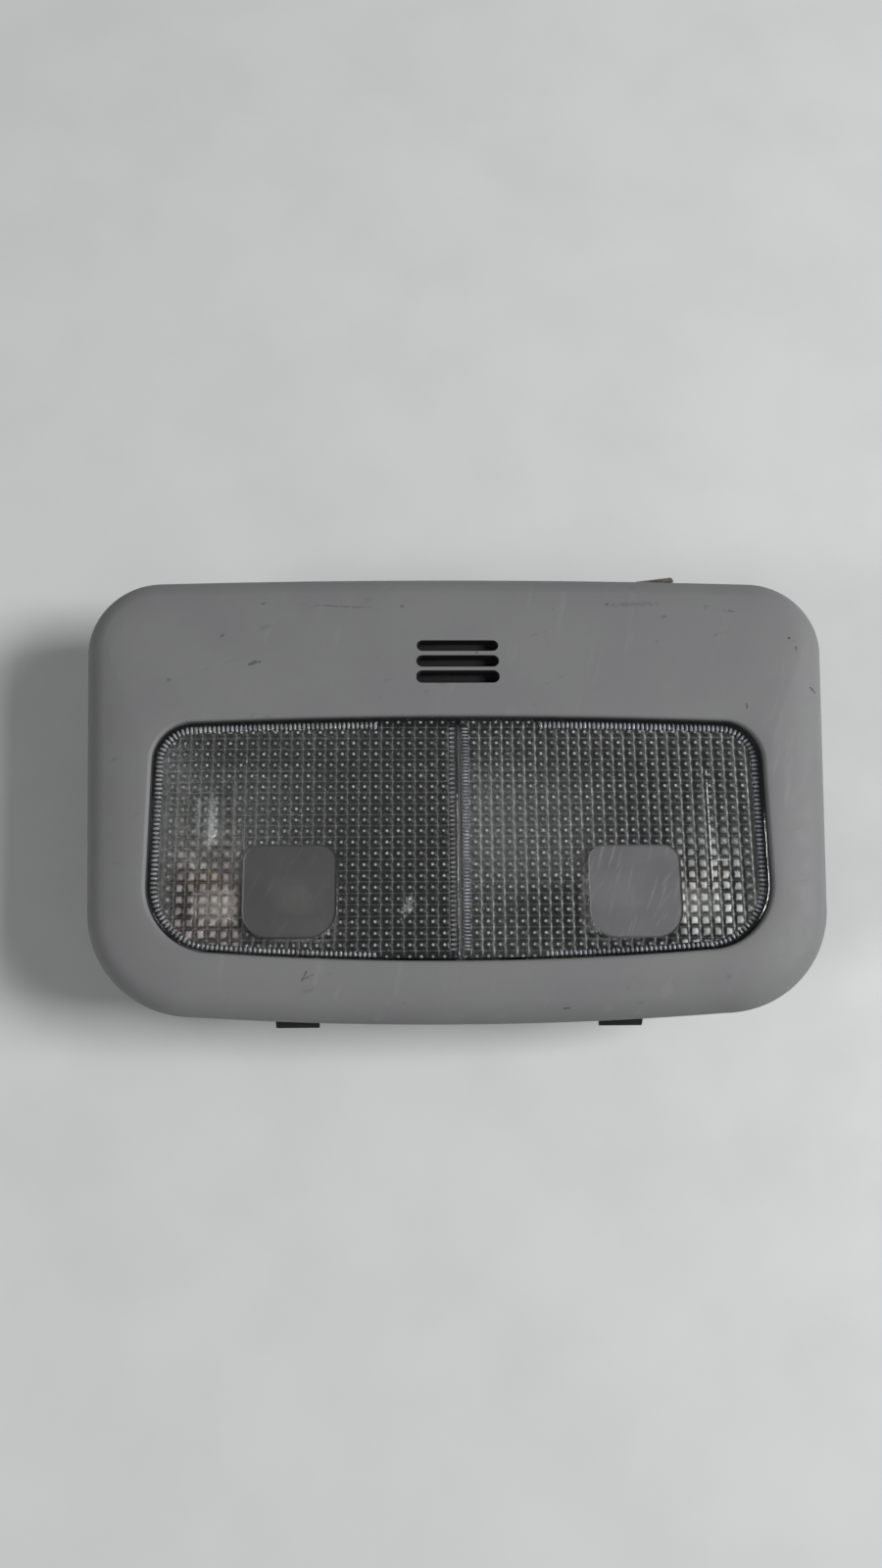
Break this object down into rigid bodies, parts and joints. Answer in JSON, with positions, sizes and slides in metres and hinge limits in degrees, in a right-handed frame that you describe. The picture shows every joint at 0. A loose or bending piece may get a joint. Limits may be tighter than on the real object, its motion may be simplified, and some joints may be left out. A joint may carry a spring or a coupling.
{
  "type": "overhead map lamp",
  "caption": "Vehicle overhead map lamp: a grey moulded bezel with prismatic push lenses over wedge-base bulbs, and slots in front of a microphone.",
  "frame": {"origin": "bottom centre of the overall box, on the plane that the lamp lies on when laid on its back", "axes": "+Z out of the lenses, +Y from the lenses towards the microphone slots, +X to the right as seen from the front"},
  "size_m": [0.1716, 0.1077, 0.0373],
  "materials": {
    "grey_moulding": "fine moulded grain, satin",
    "clear_lens": "clear, polished outside and prismatic behind",
    "dark_housing": "plain moulded",
    "black_moulding": "plain moulded",
    "switch_moulding": "plain moulded",
    "ivory_moulding": "smooth moulded",
    "brass_strip": "stamped strip",
    "bright_steel": "zinc plated",
    "bronze_steel": "blued spring steel with a bronze tint",
    "reflector_metal": "bright rolled sheet",
    "bulb_glass": "clear",
    "soft_rubber": "matt",
    "dark_gauze": "fine woven dust screen"
  },
  "bodies": {
    "lamp": {"front_bezel": "grey_moulding", "lamp_housing": "dark_housing", "left_bulb": "bulb_glass", "right_bulb": "bulb_glass", "left_bulb_holder": "ivory_moulding", "right_bulb_holder": "ivory_moulding", "left_reflector": "reflector_metal", "right_reflector": "reflector_metal", "left_switch_base": "black_moulding", "right_switch_base": "black_moulding", "left_switch_case": "switch_moulding", "right_switch_case": "switch_moulding", "left_switch_spring": "bright_steel", "right_switch_spring": "bright_steel", "supply_busbar": "brass_strip", "ground_busbar": "brass_strip", "left_lamp_busbar": "brass_strip", "right_lamp_busbar": "brass_strip", "connector_socket": "black_moulding", "microphone_holder": "black_moulding", "microphone_capsule": "reflector_metal", "microphone_boot": "soft_rubber", "microphone_screen": "dark_gauze", "left_spring_clip": "bronze_steel", "right_spring_clip": "bronze_steel", "left_lower_claw": "black_moulding", "right_lower_claw": "black_moulding", "left_upper_screw": "bright_steel", "left_lower_screw": "bright_steel", "right_upper_screw": "bright_steel", "right_lower_screw": "bright_steel"},
    "left_push_lens": {"left_lens": "clear_lens"},
    "right_push_lens": {"right_lens": "clear_lens"},
    "left_plunger": {"left_switch_plunger": "ivory_moulding"},
    "right_plunger": {"right_switch_plunger": "ivory_moulding"}
  },
  "joints": [
    {"name": "left_lens_press", "type": "hinge", "parent": "lamp", "child": "left_push_lens", "pos_m": [-0.0114, -0.01395, 0.03301], "axis": [0, -1, 0], "range_deg": [0, 3.2], "stiffness_Nm_per_rad": 0.8, "springref_deg": -2.86},
    {"name": "right_lens_press", "type": "hinge", "parent": "lamp", "child": "right_push_lens", "pos_m": [0.0114, -0.01395, 0.03301], "axis": [0, 1, 0], "range_deg": [0, 3.2], "stiffness_Nm_per_rad": 0.8, "springref_deg": -2.86},
    {"name": "left_plunger_slide", "type": "slide", "parent": "lamp", "child": "left_plunger", "axis": [0, 0, -1], "range_m": [0, 0.0015], "deforming": ["left_switch_spring"]},
    {"name": "right_plunger_slide", "type": "slide", "parent": "lamp", "child": "right_plunger", "axis": [0, 0, -1], "range_m": [0, 0.0015], "deforming": ["right_switch_spring"]}
  ],
  "couplings": [
    {"joint": "left_plunger_slide", "follows": "left_lens_press", "m_per_rad": 0.02585},
    {"joint": "right_plunger_slide", "follows": "right_lens_press", "m_per_rad": 0.02585}
  ]
}
